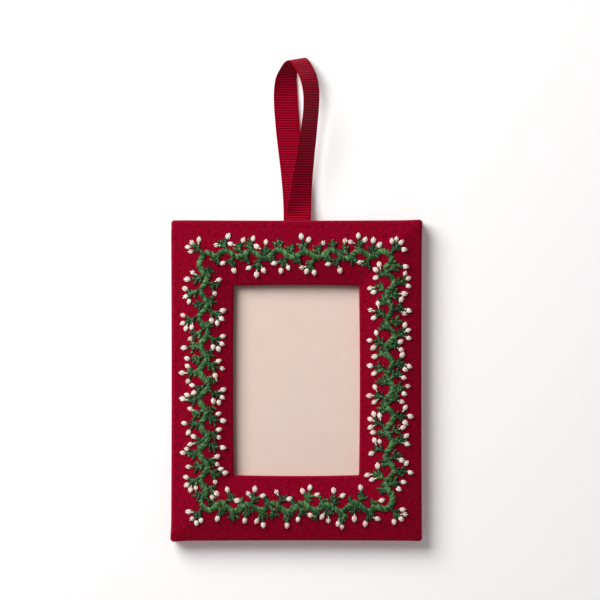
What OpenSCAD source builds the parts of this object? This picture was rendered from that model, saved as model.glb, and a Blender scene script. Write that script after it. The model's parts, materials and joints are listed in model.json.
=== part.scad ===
// Cloth-covered picture frame ornament with an embroidered vine border and a ribbon loop.
// Every piece is laid out face up on a table, x across and y up the frame, and then stood
// up to hang: X across, Z up, and the front faces -Y. The origin is the point inside the
// top of the ribbon loop that the whole ornament hangs from.

/* [Frame] */
// Width over the folded corners
frame_w = 97; // [88:1:116]
// Height over the folded corners
frame_h = 124; // [112:1:146]
// Width of the window between its cloth lips
window_w = 48.3; // [44:0.1:49.4]
// Height of the window between its cloth lips
window_h = 73.2; // [68:0.1:74.4]
// Thickness of the front board
front_board_t = 2.5; // [2:0.1:4]
// Thickness of the back board
back_board_t = 2; // [1.4:0.1:4]
// Thickness of the soft layer at the front board's edges
padding_t = 0.8; // [0.6:0.1:1.6]
// Extra height of the soft layer under the vine
crown_h = 2.6; // [0.2:0.1:3.2]
// How far the soft layer stops short of the board's edges
padding_inset = 1; // [0.8:0.1:1.4]
// Rounding of the boards' outer corners
board_corner_r = 0.8; // [0.4:0.1:2]
// Rounding of the board's window corners
window_corner_r = 0.6; // [0.3:0.1:1.5]

/* [Cloth] */
// Thickness of the covering cloth
cloth_t = 0.5; // [0.4:0.05:0.7]
// Extra bulk of the folded cloth at each outer corner
fold_bulk = 0.6; // [0.1:0.1:1]
// How far the window's sides bow outwards at mid length
window_bow = 0.3; // [0.05:0.05:0.5]
// Roundness of the front's outer edge
edge_r = 1.8; // [1.5:0.1:2]
// Roundness of the window's lip
lip_r = 1.5; // [1.2:0.1:1.7]
// Roundness of the back's outer edge
back_edge_r = 1.2; // [0.8:0.1:1.4]
// Width of the cloth turned in behind the outer edges
turn_in = 10; // [6:0.5:11]
// Width of the cloth turned in behind the window
window_turn_in = 8; // [5:0.5:9]

/* [Photo pocket] */
// Depth of the pocket between the two halves
pocket_t = 1; // [0.9:0.05:1.6]
// Width of the card that fills the window
card_w = 50.8; // [50:0.1:54]
// Height of the card that fills the window
card_h = 76.2; // [75.4:0.1:80]
// Thickness of the card
card_t = 0.4; // [0.25:0.05:0.5]
// Thickness of the clear sheet in front of the card
sheet_t = 0.25; // [0.15:0.05:0.3]
// Room round the card in its pocket, both sides together
card_play = 0.8; // [0.4:0.1:1.4]

/* [Ribbon] */
// Width of the ribbon
ribbon_w = 9.5; // [6:0.5:12]
// Thickness of the ribbon
ribbon_t = 0.4; // [0.3:0.02:0.42]
// Height of the loop's middle line above the frame
loop_h = 62.8; // [50:0.5:80]
// Length of the ribbon's ends glued between the halves
tail_h = 12; // [9:0.5:12]
// Room left round the ribbon's ends in the spacer
tail_play = 1.6; // [1:0.1:3]

/* [Embroidery] */
// Distance from the frame's edge to the middle of the vine, at the sides
vine_side_inset = 12.65; // [12:0.05:13.4]
// Distance from the frame's edge to the middle of the vine, at the top and bottom
vine_end_inset = 13.2; // [12.4:0.05:14]
// Radius of the vine's four turns
turn_r = 4; // [3.5:0.1:6]
// How far the vine swings out into each corner
corner_push = 1.5; // [0:0.1:1.6]
// Length of one wave of the vine
wave_len = 10.4; // [9:0.1:14]
// How far the vine sways to each side
wave_h = 1.35; // [0.6:0.05:1.5]
// Width of the vine's stem
stem_w = 2.2; // [1.6:0.1:2.4]
// Height of the stem above the cloth
stem_t = 0.9; // [0.6:0.05:1.2]
// Width of a twig
twig_w = 1; // [0.7:0.05:1.1]
// Height of a twig above the cloth
twig_t = 0.65; // [0.4:0.05:0.8]
// Length of a sprig's main twig at the top and bottom
sprig_len = 4.3; // [3.2:0.1:4.8]
// Extra length of a sprig on the two long sides
side_extra = 1.2; // [0:0.1:1.5]
// Length of a side twig
stub_len = 2.3; // [1.6:0.1:2.6]
// Length of a bud
bud_len = 2.15; // [1.5:0.05:2.4]
// Width of a bud
bud_w = 1.7; // [1.2:0.05:1.9]
// Height of a bud above the cloth
bud_t = 0.85; // [0.5:0.05:1.2]
// Gap between a twig's tip and its bud
bud_gap = 0.2; // [0.1:0.05:0.5]
// Least gap between neighbouring stitches
stitch_gap = 0.12; // [0.08:0.01:0.3]
// Gap between the cloth and a twig or bud
sewn_gap = 0.1; // [0.06:0.01:0.2]

/* [Hidden] */

// Half sizes of the boards and of the board's window
board_hw = frame_w / 2 - cloth_t - fold_bulk;
board_hh = frame_h / 2 - cloth_t - fold_bulk;
hole_hw = window_w / 2 + cloth_t;
hole_hh = window_h / 2 + cloth_t;

// Levels above the middle of the pocket, the front ones positive
pocket_z = pocket_t / 2;
front_z = pocket_z + cloth_t;
pad_z = front_z + front_board_t;
skin_z = pad_z + padding_t;
face_z = skin_z + cloth_t;
crown_z = skin_z + crown_h;
back_z = -pocket_z - cloth_t;
back_skin_z = back_z - back_board_t;
back_face_z = back_skin_z - cloth_t;

// Points along each side and each corner of an outline
side_steps = 6;
corner_steps = 3;
outline_n = 4 * (side_steps + corner_steps);

// Top edge of the cloth at the middle of the frame, and the ribbon's place in the pocket
top_y = board_hh + cloth_t;
tail_z = pocket_z - ribbon_t / 2;
front_tail_x = 0.8;
back_tail_x = -0.25;
loop_z = 0.8;

// Corner, bow and half size of a rectangle, as a list of points turning left
function corner_points(q, hw, hh, r) =
    let (sx = (q == 0 || q == 3) ? 1 : -1, sy = q < 2 ? 1 : -1)
    [for (i = [0:corner_steps])
        let (a = 90 * (q + i / corner_steps))
        [sx * (hw - r) + r * cos(a), sy * (hh - r) + r * sin(a)]];

function side_points(q, hw, hh, r, bow) =
    let (
        from = corner_points(q, hw, hh, r)[corner_steps],
        to = corner_points((q + 1) % 4, hw, hh, r)[0],
        inwards = -[cos(90 * (q + 1)), sin(90 * (q + 1))]
    )
    [for (i = [1:side_steps - 1])
        let (t = i / side_steps)
        from + (to - from) * t + inwards * bow * (1 - pow(2 * t - 1, 2))];

function outline(hw, hh, r, bow = 0) =
    [for (q = [0:3]) each concat(corner_points(q, hw, hh, r), side_points(q, hw, hh, r, bow))];

// One ring of a skin: half width, half height, corner radius, bow, level
function edge_ring(inset, r, bow, z) = [board_hw - inset, board_hh - inset, r, bow, z];
function hole_ring(inset, r, bow, z) = [hole_hw + inset, hole_hh + inset, r, bow, z];
function ring_points(g) = [for (p = outline(g[0], g[1], g[2], g[3])) [p[0], p[1], g[4]]];

function reversed(list) = [for (i = [len(list) - 1:-1:0]) list[i]];

// Two triangles for each step between neighbouring rings of n points
function ring_faces(count, n, closed) =
    [for (i = [0:count - (closed ? 1 : 2)])
        let (k = (i + 1) % count)
        for (j = [0:n - 1])
            let (m = (j + 1) % n)
            each [[i * n + j, k * n + j, k * n + m], [i * n + j, k * n + m, i * n + m]]];

// The rounded turn of a skin, from its side to its face
edge_steps = 3;
function round_share(i) = 90 * i / edge_steps;

// The border swells from both its edges to a flat crown, which the vine's stem lies on
edge_room = edge_r - cloth_t;
lip_room = lip_r - cloth_t;
low_sway = 0.3;
crown_half = wave_h * (1 + low_sway) + stem_w / 2;
crown_side = board_hw - (frame_w / 2 - vine_side_inset);
crown_end = board_hh - (frame_h / 2 - vine_end_inset);
function crown_ring(off, r, z) =
    [board_hw - crown_side + off, board_hh - crown_end + off, r, 0, z];
function crown_rings(z) = [
    crown_ring(crown_half, board_corner_r + cloth_t, z),
    crown_ring(-crown_half, window_corner_r, z)
];

// The soft layer, from its lower outer edge over the crown to its lower window edge
padding_rings = concat(
    [
        edge_ring(padding_inset, board_corner_r, 0, pad_z),
        edge_ring(edge_room, board_corner_r + cloth_t, 0, skin_z)
    ],
    crown_rings(crown_z),
    [
        hole_ring(lip_room, window_corner_r + lip_r, 0, skin_z),
        hole_ring(padding_inset, window_corner_r + padding_inset, 0, pad_z)
    ]
);

// Skin over the front board: in from behind, over the padding, through the window and out
front_rings = concat(
    [
        edge_ring(turn_in, board_corner_r, 0, front_z),
        edge_ring(0, board_corner_r, 0, front_z),
        edge_ring(0, board_corner_r, 0, pad_z)
    ],
    padding_rings,
    [
        hole_ring(0, window_corner_r, 0, pad_z),
        hole_ring(0, window_corner_r, 0, front_z),
        hole_ring(window_turn_in, window_corner_r, 0, front_z),
        hole_ring(window_turn_in, window_corner_r, 0, pocket_z),
        hole_ring(-cloth_t, window_corner_r, -window_bow, pocket_z)
    ],
    [for (i = [0:edge_steps])
        hole_ring(
            -cloth_t + lip_r * (1 - cos(round_share(i))),
            window_corner_r + lip_r * (1 - cos(round_share(i))),
            -window_bow * cos(round_share(i)),
            face_z - lip_r * (1 - sin(round_share(i)))
        )],
    reversed(crown_rings(crown_z + cloth_t)),
    [for (i = [edge_steps:-1:0])
        edge_ring(
            -cloth_t - fold_bulk * cos(round_share(i)) + edge_r * (1 - cos(round_share(i))),
            board_corner_r + cloth_t,
            fold_bulk * cos(round_share(i)),
            face_z - edge_r * (1 - sin(round_share(i)))
        )],
    [
        edge_ring(-cloth_t - fold_bulk, board_corner_r + cloth_t, fold_bulk, pocket_z),
        edge_ring(turn_in, board_corner_r, 0, pocket_z)
    ]
);

module front_cloth() {
    color("#93072a")
        hung()
            polyhedron(
                points = [for (g = reversed(front_rings)) each ring_points(g)],
                faces = ring_faces(len(front_rings), outline_n, true)
            );
}

// Skin over the back board: its turned-in edge, its side and its outer face
back_rings = concat(
    [
        edge_ring(0, board_corner_r, 0, back_skin_z),
        edge_ring(0, board_corner_r, 0, back_z),
        edge_ring(turn_in, board_corner_r, 0, back_z),
        edge_ring(turn_in, board_corner_r, 0, -pocket_z),
        edge_ring(-cloth_t - fold_bulk, board_corner_r + cloth_t, fold_bulk, -pocket_z)
    ],
    [for (i = [0:edge_steps])
        edge_ring(
            -cloth_t - fold_bulk * cos(round_share(i)) + back_edge_r * (1 - cos(round_share(i))),
            board_corner_r + cloth_t,
            fold_bulk * cos(round_share(i)),
            back_face_z + back_edge_r * (1 - sin(round_share(i)))
        )]
);
back_rings_n = len(back_rings);
back_last = (back_rings_n - 1) * outline_n;
back_mid = back_rings_n * outline_n;

module back_cloth() {
    color("#8a0526")
        hung()
            polyhedron(
                points = concat(
                    [for (g = reversed(back_rings)) each ring_points(g)],
                    [[0, 0, back_face_z], [0, 0, back_skin_z]]
                ),
                faces = concat(
                    ring_faces(back_rings_n, outline_n, false),
                    [for (j = [0:outline_n - 1])
                        let (m = (j + 1) % outline_n)
                        each [
                            [j, m, back_mid],
                            [back_last + m, back_last + j, back_mid + 1]
                        ]]
                )
            );
}

// Stands a piece that was laid out face up, and hangs it by the inside of its loop
module hung() {
    translate([0, loop_z, -top_y - loop_h + ribbon_t / 2])
        rotate([90, 0, 0])
            children();
}

module slab(z, t) {
    translate([0, 0, z])
        linear_extrude(t)
            children();
}

module board_outline() {
    polygon(outline(board_hw, board_hh, board_corner_r));
}

module front_board() {
    color("#b9ab95")
        hung()
            slab(front_z, front_board_t)
                difference() {
                    board_outline();
                    polygon(outline(hole_hw, hole_hh, window_corner_r));
                }
}

module padding() {
    color("#f2efe8")
        hung()
            polyhedron(
                points = [for (g = padding_rings) each ring_points(g)],
                faces = ring_faces(len(padding_rings), outline_n, true)
            );
}

module back_board() {
    color("#b9ab95")
        hung()
            slab(back_skin_z, back_board_t)
                board_outline();
}

// The pocket is shut at the left, top and bottom, and open at the right edge
pocket_w = card_w + card_play;
pocket_h = card_h + card_play;
notch_w = ribbon_w + front_tail_x - back_tail_x + tail_play;
notch_x = (front_tail_x + back_tail_x) / 2;
notch_h = tail_h + tail_play / 2;

module channel_spacer() {
    color("#a89880")
        hung()
            slab(-pocket_z, pocket_t)
                difference() {
                    board_outline();
                    translate([-pocket_w / 2, -pocket_h / 2])
                        square([pocket_w / 2 + board_hw + 1, pocket_h]);
                    translate([notch_x - notch_w / 2, board_hh - notch_h])
                        square([notch_w, notch_h + 1]);
                }
}

// The sheet and the card stand on the lower edge of the pocket
module pocket_sheet(z, t) {
    translate([-card_w / 2, -pocket_h / 2, z])
        cube([card_w, card_h, t]);
}

module clear_sheet() {
    color([0.86, 0.92, 0.94, 0.35])
        hung()
            pocket_sheet(pocket_z - sheet_t, sheet_t);
}

module photo_card() {
    color("#e4cfc1")
        hung()
            pocket_sheet(pocket_z - sheet_t - card_t, card_t);
}

// Middle line of the ribbon: across, height above the frame, towards the viewer, turn.
// The loop's points are drawn for a loop of this height. Towards its top the band leans,
// its right edge the higher one
drawn_loop_h = 62.8;
lean_from = 50;
top_lean = 0.15;
mouth_y = 0.4;
function loop_point(x, y, z, a) = [x, y * loop_h / drawn_loop_h, z, a];
loop_route = [
    [front_tail_x, -tail_h, tail_z, 0],
    [front_tail_x, -tail_h * 2 / 3, tail_z, 0],
    [front_tail_x, -tail_h / 3, tail_z, 0],
    [front_tail_x, mouth_y, tail_z, 0],
    loop_point(0.9, 3, 0.42, 0),
    loop_point(1.1, 5.6, 0.8, 14),
    loop_point(1.45, 9, 1.3, 25),
    loop_point(1.9, 13.5, 1.9, 31),
    loop_point(2.45, 18, 2.5, 36),
    loop_point(3.05, 22.5, 3.1, 40),
    loop_point(3.7, 27.5, 3.8, 44),
    loop_point(4.4, 32.5, 4.5, 47),
    loop_point(5.05, 37.5, 5.1, 50),
    loop_point(5.55, 42.5, 5.6, 51),
    loop_point(5.75, 47.5, 5.8, 50),
    loop_point(5.45, 52, 5.5, 47),
    loop_point(4.5, 56, 4.7, 45),
    loop_point(2.9, 59.4, 3.2, 44),
    loop_point(1.4, 61.9, 1.9, 45),
    loop_point(0, drawn_loop_h, loop_z, 45),
    loop_point(-1.4, 61.9, 0.25, 44),
    loop_point(-2.8, 59.4, -0.1, 40),
    loop_point(-3.9, 56, -0.7, 31),
    loop_point(-4.2, 52, -1.2, 21),
    loop_point(-4.2, 48, -1.6, 14),
    loop_point(-4, 44, -1.75, 10),
    loop_point(-3.65, 39.5, -1.75, 10),
    loop_point(-3.2, 34.5, -1.65, 9),
    loop_point(-2.6, 29.5, -1.5, 8),
    loop_point(-2, 24.5, -1.35, 7),
    loop_point(-1.4, 19.5, -1.1, 6),
    loop_point(-0.9, 14.5, -0.85, 4),
    loop_point(-0.5, 9.5, -0.6, 3),
    loop_point(-0.3, 4.8, -0.4, 0),
    [back_tail_x, mouth_y, -tail_z, 0],
    [back_tail_x, -tail_h / 3, -tail_z, 0],
    [back_tail_x, -tail_h * 2 / 3, -tail_z, 0],
    [back_tail_x, -tail_h, -tail_z, 0]
];

// A smooth curve through four neighbouring points, at a share t between the middle two
function smooth(a, b, c, d, t) =
    (2 * b + (c - a) * t + (2 * a - 5 * b + 4 * c - d) * t * t
        + (3 * b - a - 3 * c + d) * t * t * t) / 2;

loop_last = len(loop_route) - 1;
loop_steps = 2;
loop_line = [
    for (i = [0:loop_last - 1], s = [0:loop_steps - 1])
        smooth(
            loop_route[max(i - 1, 0)], loop_route[i],
            loop_route[i + 1], loop_route[min(i + 2, loop_last)],
            s / loop_steps
        ),
    loop_route[loop_last]
];
loop_n = len(loop_line);

function unit(v) = v / norm(v);
function place(p) = [p[0], top_y + p[1], p[2]];
function lean(p) =
    top_lean * max(0, p[1] * drawn_loop_h / loop_h - lean_from) / (drawn_loop_h - lean_from);
function loop_ring(i) =
    let (
        p = loop_line[i],
        along = unit(place(loop_line[min(i + 1, loop_n - 1)]) - place(loop_line[max(i - 1, 0)])),
        across = unit([cos(p[3]), lean(p), -sin(p[3])]) * ribbon_w / 2,
        through = unit(cross(along, across)) * ribbon_t / 2
    )
    [
        place(p) - across - through, place(p) + across - through,
        place(p) + across + through, place(p) - across + through
    ];

module ribbon() {
    color("#7b0a20")
        hung()
            polyhedron(
                points = [for (i = [0:loop_n - 1]) each loop_ring(i)],
                faces = concat(
                    ring_faces(loop_n, 4, false),
                    [[0, 1, 2, 3]],
                    [[for (j = [3:-1:0]) (loop_n - 1) * 4 + j]]
                )
            );
}

// The vine runs round the middle of the border, turning left from the lower left corner
vine_w = frame_w - 2 * vine_side_inset;
vine_h = frame_h - 2 * vine_end_inset;
run_w = vine_w - 2 * turn_r;
run_h = vine_h - 2 * turn_r;
run_turn = PI * turn_r / 2;
half_run = run_w + run_h + 2 * run_turn;
vine_len = 2 * half_run;
waves = round(vine_len / wave_len);
slow_waves = round(waves * 0.6);

// Place and heading at a distance s along the vine's middle line
function around(cx, cy, a) = [cx + turn_r * cos(a), cy + turn_r * sin(a), a + 90];
function half_route(s) =
    s < run_w ? [s - run_w / 2, -vine_h / 2, 0]
    : s < run_w + run_turn ? around(run_w / 2, -run_h / 2, 90 * (s - run_w) / run_turn - 90)
    : s < run_w + run_turn + run_h ? [vine_w / 2, s - run_w - run_turn - run_h / 2, 90]
    : around(run_w / 2, run_h / 2, 90 * (s - run_w - run_turn - run_h) / run_turn);
function route(s) =
    s < half_run ? half_route(s)
    : let (r = half_route(s - half_run)) [-r[0], -r[1], r[2] + 180];
corner_mids = [
    for (s = [run_w + run_turn / 2, half_run - run_turn / 2])
        for (half = [0, half_run]) s + half
];
corner_reach = 5;
function to_corner(s) =
    min([for (c = corner_mids) min(abs(s - c), vine_len - abs(s - c))]);
function corner_share(s) = (1 + cos(180 * min(1, to_corner(s) / corner_reach))) / 2;
function sway(s) =
    let (
        wave = sin(360 * waves * s / vine_len)
            + low_sway * sin(360 * slow_waves * s / vine_len + 40),
        out = corner_share(s)
    )
    wave_h * wave * (1 - out) - corner_push * out;
function vine(s) =
    let (r = route(s), w = sway(s))
    [r[0] - w * sin(r[2]), r[1] + w * cos(r[2]), r[2]];

// A steady scatter from -1 to 1 that differs for each k and each salt
function part_of_one(x) = x - floor(x);
function vary(k, salt) =
    part_of_one(k * 0.618034 + salt * 0.41421) + part_of_one(k * k * 0.7548777 + salt * 0.5698) - 1;

function xy(p) = [p[0], p[1]];
function step_to(p, a, r) = [p[0] + r * cos(a), p[1] + r * sin(a)];

// Distance from a point to the line between two others
function off_line(p, from, to) =
    let (v = to - from, f = max(0, min(1, ((p - from) * v) / (v * v))))
    norm(p - from - v * f);

stem_steps = 10;
stem_n = stem_steps * waves;
stem_line = [for (i = [0:stem_n - 1]) vine(i * vine_len / stem_n)];
sprigs_per_wave = 4;
sprig_n = sprigs_per_wave * waves;
near_stem = 15;
function stem_at(i) = xy(stem_line[(i + stem_n) % stem_n]);
function off_stem(p, k) =
    let (mid = round((k + 0.5) * stem_n / sprig_n))
    min([for (j = [-near_stem:near_stem]) off_line(p, stem_at(mid + j), stem_at(mid + j + 1))]);

// First distance from the root at which a twig's edge is clear of the stem
root_step = 0.1;
root_most = 4;
function leave_stem(from, a, k, r = 0) =
    r > root_most || off_stem(step_to(from, a, r), k) > stem_w / 2 + stitch_gap
    ? r
    : leave_stem(from, a, k, r + root_step);

// A twig: root, direction, where its left and right edges start, where it ends, has a bud
half_w = twig_w / 2;
function main_twig(root, a, k, l, bud) = [
    root, a,
    leave_stem(step_to(root, a + 90, half_w), a, k),
    leave_stem(step_to(root, a - 90, half_w), a, k),
    l, bud
];
function stub(root, lean, along, turn, l) =
    let (
        inner = (half_w + stitch_gap + half_w * cos(turn)) / sin(abs(turn)),
        outer = (half_w + stitch_gap - half_w * cos(turn)) / sin(abs(turn))
    )
    [step_to(root, lean, along), lean + turn, turn > 0 ? outer : inner, turn > 0 ? inner : outer, l, true];
function arm(fork, lean, turn, spread, l) =
    let (
        inner = (stitch_gap / 2 + half_w * cos(spread)) / sin(spread),
        outer = (stitch_gap + half_w * sin(abs(turn))) / cos(turn)
    )
    [fork, lean + turn, turn > 0 ? outer : inner, turn > 0 ? inner : outer, l, true];
function twig_base(t) = step_to(t[0], t[1], (t[2] + t[3]) / 2);
function twig_tip(t) = step_to(t[0], t[1], t[4]);

// Sprigs grow from the stem on alternate sides, in three kinds. A kind gives its main twig's
// share of the length, then each side twig's share along it, its turn and its share of stub_len
sprig_kinds = [
    [1, [0.42, -52, 1], [0.6, 50, 0.95], [0.8, -46, 0.83]],
    [0.62, [0.4, 62, 0.95]],
    [0.95, [0.4, 50, 1.04], [0.55, -48, 1], [0.78, 44, 0.87]]
];
forked_kind = 1;
fork_arms = [[28, 1], [-38, 0.95]];
fork_spread = 33;
sprig_order = [0, 1, 2, 0, 1];
sprig_lean = 60;
lean_scatter = 14;
root_scatter = 0.25;
function turning(h) = min(h % 90, 90 - h % 90) > 1;

// One outer sprig stands in each corner, and those that would crowd it are left out
sprig_step = vine_len / sprig_n;
corner_clear = 1.4;
function nearest_corner(s) = [for (c = corner_mids) if (abs(s - c) < sprig_step) c];
function sprig(k) =
    let (
        side = k % 2 == 1 ? 1 : -1,
        s = (k + 0.5) * sprig_step,
        corner = side == 1 ? [] : nearest_corner(s),
        cornered = len(corner) > 0,
        at = vine(cornered ? corner[0] : s + root_scatter * vary(k, 3) * sprig_step),
        lean = at[2] + side * (cornered ? 90 : sprig_lean + lean_scatter * vary(k, 1)),
        l = sprig_len + side_extra * abs(sin(at[2])) + vary(k, 2) * (cornered ? 0 : 1),
        kind = cornered ? 0 : sprig_order[(k * 3 + floor(k / 5)) % 5],
        parts = sprig_kinds[kind],
        root = xy(at),
        fork = step_to(root, lean, l * parts[0] + stitch_gap)
    )
    side == 1 && turning(at[2]) || !cornered && side == -1 && to_corner(s) < corner_clear * sprig_step ? []
    : concat(
        [main_twig(root, lean, k, l * parts[0], kind == 0)],
        kind != forked_kind ? []
        : [for (a = fork_arms) arm(fork, lean, a[0] * side, fork_spread, stub_len * a[1])],
        [for (i = [1:len(parts) - 1])
            let (b = parts[i])
            stub(root, lean, l * b[0], b[1] * side, stub_len * b[2])]
    );

// Stitching stays on the face, clear of both rounded edges
function on_face(p, r) =
    abs(p[0]) < board_hw - edge_room - r && abs(p[1]) < board_hh - edge_room - r
    && (abs(p[0]) > hole_hw + lip_room + r || abs(p[1]) > hole_hh + lip_room + r);

// A twig is stitched only where it clears the stem and the twigs of the sprigs before it
near_sprigs = 7;
function apart(t, u) =
    let (a = twig_base(t), b = twig_tip(t), c = twig_base(u), d = twig_tip(u))
    min(
        off_line(a, c, d), off_line((a + b) / 2, c, d), off_line(b, c, d),
        off_line(c, a, b), off_line((c + d) / 2, a, b), off_line(d, a, b)
    ) > twig_w + stitch_gap;
function neighbours(k, kept) = [
    for (j = [-near_sprigs:near_sprigs])
        let (m = (k + j + sprig_n) % sprig_n)
        if (j != 0 && m < len(kept)) each kept[m]
];
function fits(t, k, others) =
    on_face(twig_tip(t), half_w)
    && max(t[2], t[3]) < t[4] - half_w
    && off_stem(twig_tip(t), k) > stem_w / 2 + half_w + stitch_gap
    && off_stem((twig_base(t) + twig_tip(t)) / 2, k) > stem_w / 2 + half_w
    && len([for (u = others) if (!apart(t, u)) 1]) == 0;
function grown(k, kept) =
    let (s = sprig(k), others = neighbours(k, kept))
    len(s) == 0 || !fits(s[0], k, others) ? [] : [for (t = s) if (fits(t, k, others)) t];
function grow(k, kept) = k == sprig_n ? kept : grow(k + 1, concat(kept, [grown(k, kept)]));
sprigs = grow(0, []);

// A bud is an oval at a twig's tip: middle, direction, half length, half width, sprig
function bud_at(k, i, t) =
    let (size = 1 + 0.14 * vary(k * 4 + i, 7), r = bud_len * size / 2)
    [step_to(t[0], t[1], t[4] + bud_gap + r), t[1], r, bud_w * size / 2, k];
function bud_axis(b) = [for (s = [-1, 0, 1]) step_to(b[0], b[1], s * (b[2] - b[3]))];

// A bud is stitched only where it clears the twigs, the stem and the buds before it
function clear_of_twigs(b, own) =
    let (room = b[3] + half_w + stitch_gap)
    len([
        for (j = [-near_sprigs:near_sprigs], t = sprigs[(b[4] + j + sprig_n) % sprig_n])
            if (t != own && min([for (p = bud_axis(b)) off_line(p, twig_base(t), twig_tip(t))]) < room) 1
    ]) == 0;
function clear_of_stem(b) =
    min([for (p = bud_axis(b)) off_stem(p, b[4])]) > b[3] + stem_w / 2 + stitch_gap;
function buds_apart(b, c) =
    min([for (p = bud_axis(b), q = bud_axis(c)) norm(p - q)]) > b[3] + c[3] + stitch_gap;
function near(b, c) = norm(b[0] - c[0]) < 2 * bud_len;
function clear_of_buds(b, kept) =
    len([for (c = kept) if (near(b, c) && !buds_apart(b, c)) 1]) == 0;
function pick(all, i, kept) =
    i == len(all) ? kept
    : pick(all, i + 1, clear_of_buds(all[i], kept) ? concat(kept, [all[i]]) : kept);

bud_choices = [
    for (k = [0:sprig_n - 1])
        for (i = [0:1:len(sprigs[k]) - 1])
            let (t = sprigs[k][i], b = bud_at(k, i, t))
            if (t[5] && on_face(b[0], b[2]) && clear_of_twigs(b, t) && clear_of_stem(b)) b
];
buds = pick(bud_choices, 0, []);

// Height of the cloth over the level of its edges, at a point of the face
function rise(from, to, x) = (x - from) / (to - from);
function swell(p) =
    let (x = abs(p[0]), y = abs(p[1]), mid_w = vine_w / 2, mid_h = vine_h / 2)
    crown_h * max(0, min(
        1,
        rise(board_hw - edge_room, mid_w + crown_half, x),
        rise(board_hh - edge_room, mid_h + crown_half, y),
        max(
            rise(hole_hw + lip_room, mid_w - crown_half, x),
            rise(hole_hh + lip_room, mid_h - crown_half, y)
        )
    ));

// The lift that clears the cloth along a straight line between two points that touch it
lift_shares = [for (i = [1:9]) i / 10];
function lift(from, to) =
    max(0, max([
        for (t = lift_shares)
            swell(from + (to - from) * t) - swell(from) - (swell(to) - swell(from)) * t
    ]));

// The stem's section stands on the cloth: half width and height of each point, as shares
stem_section = [[-1, 0], [-0.7, 0.75], [0, 1], [0.7, 0.75], [1, 0]];
stem_section_n = len(stem_section);
function stem_ring(i) =
    let (p = stem_at(i), v = unit(stem_at(i + 1) - stem_at(i - 1)))
    [for (s = stem_section)
        [p[0] + v[1] * s[0] * stem_w / 2, p[1] - v[0] * s[0] * stem_w / 2, crown_h + s[1] * stem_t]];

// A twig is a ridge with three corners at each end
function beside(t, side, r) = step_to(step_to(t[0], t[1], r), t[1] + 90 * side, half_w);
function raised(p, z) = [p[0], p[1], swell(p) + z];
function twig_points(t) =
    let (
        right = [beside(t, -1, t[3]), beside(t, -1, t[4])],
        left = [beside(t, 1, t[2]), beside(t, 1, t[4])],
        room = sewn_gap + max(
            lift(right[0], right[1]), lift(left[0], left[1]), lift(right[0], left[0]),
            lift(right[1], left[1]), lift(right[0], left[1]), lift(left[0], right[1])
        )
    )
    [
        raised(right[0], room), raised(left[0], room), raised(twig_base(t), room + twig_t),
        raised(right[1], room), raised(left[1], room), raised(twig_tip(t), room + twig_t)
    ];
twig_faces = concat(ring_faces(2, 3, false), [[0, 1, 2], [5, 4, 3]]);
twigs = [for (s = sprigs) each s];

// The faces of a form, numbered on for each of its copies
function repeated(faces, step, count, start = 0) =
    [for (k = [0:count - 1], f = faces) [for (i = f) start + i + k * step]];

module vine_stitching() {
    color("#2f6b35")
        hung()
            translate([0, 0, face_z])
                polyhedron(
                    points = concat(
                        [for (i = [0:stem_n - 1]) each stem_ring(i)],
                        [for (t = twigs) each twig_points(t)]
                    ),
                    faces = concat(
                        ring_faces(stem_n, stem_section_n, true),
                        repeated(twig_faces, 6, len(twigs), stem_n * stem_section_n)
                    )
                );
}

// A bud is a low dome of six sides, rising to a point over its middle
bud_sides = 6;
bud_waist = [0.8, 0.6];
function bud_ring(b, share) =
    [for (i = [0:bud_sides - 1])
        let (u = b[2] * share * cos(360 * i / bud_sides), v = b[3] * share * sin(360 * i / bud_sides))
        [b[0][0] + u * cos(b[1]) - v * sin(b[1]), b[0][1] + u * sin(b[1]) + v * cos(b[1])]];
function bud_solid(b) =
    let (
        rim = bud_ring(b, 1),
        room = sewn_gap + max([
            for (i = [0:bud_sides - 1])
                max(lift(rim[i], b[0]), lift(rim[i], rim[(i + 1) % bud_sides]))
        ])
    )
    concat(
        [for (p = rim) raised(p, room)],
        [for (p = bud_ring(b, bud_waist[0])) raised(p, room + bud_t * bud_waist[1])],
        [raised(b[0], room + bud_t), raised(b[0], room)]
    );
bud_points_n = 2 * bud_sides + 2;
bud_faces = concat(
    ring_faces(2, bud_sides, false),
    [for (j = [0:bud_sides - 1]) [j, (j + 1) % bud_sides, bud_points_n - 1]],
    [for (j = [0:bud_sides - 1]) [bud_sides + j, 2 * bud_sides, bud_sides + (j + 1) % bud_sides]]
);

module bud_stitching() {
    color("#f5eae0")
        hung()
            translate([0, 0, face_z])
                polyhedron(
                    points = [for (b = buds) each bud_solid(b)],
                    faces = repeated(bud_faces, bud_points_n, len(buds))
                );
}

front_cloth();
vine_stitching();
bud_stitching();
padding();
front_board();
clear_sheet();
photo_card();
channel_spacer();
back_board();
back_cloth();
ribbon();
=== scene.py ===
import json
from math import sin, cos, atan2, degrees, floor, pi, radians, sqrt
import bpy
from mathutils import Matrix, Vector, noise

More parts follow.
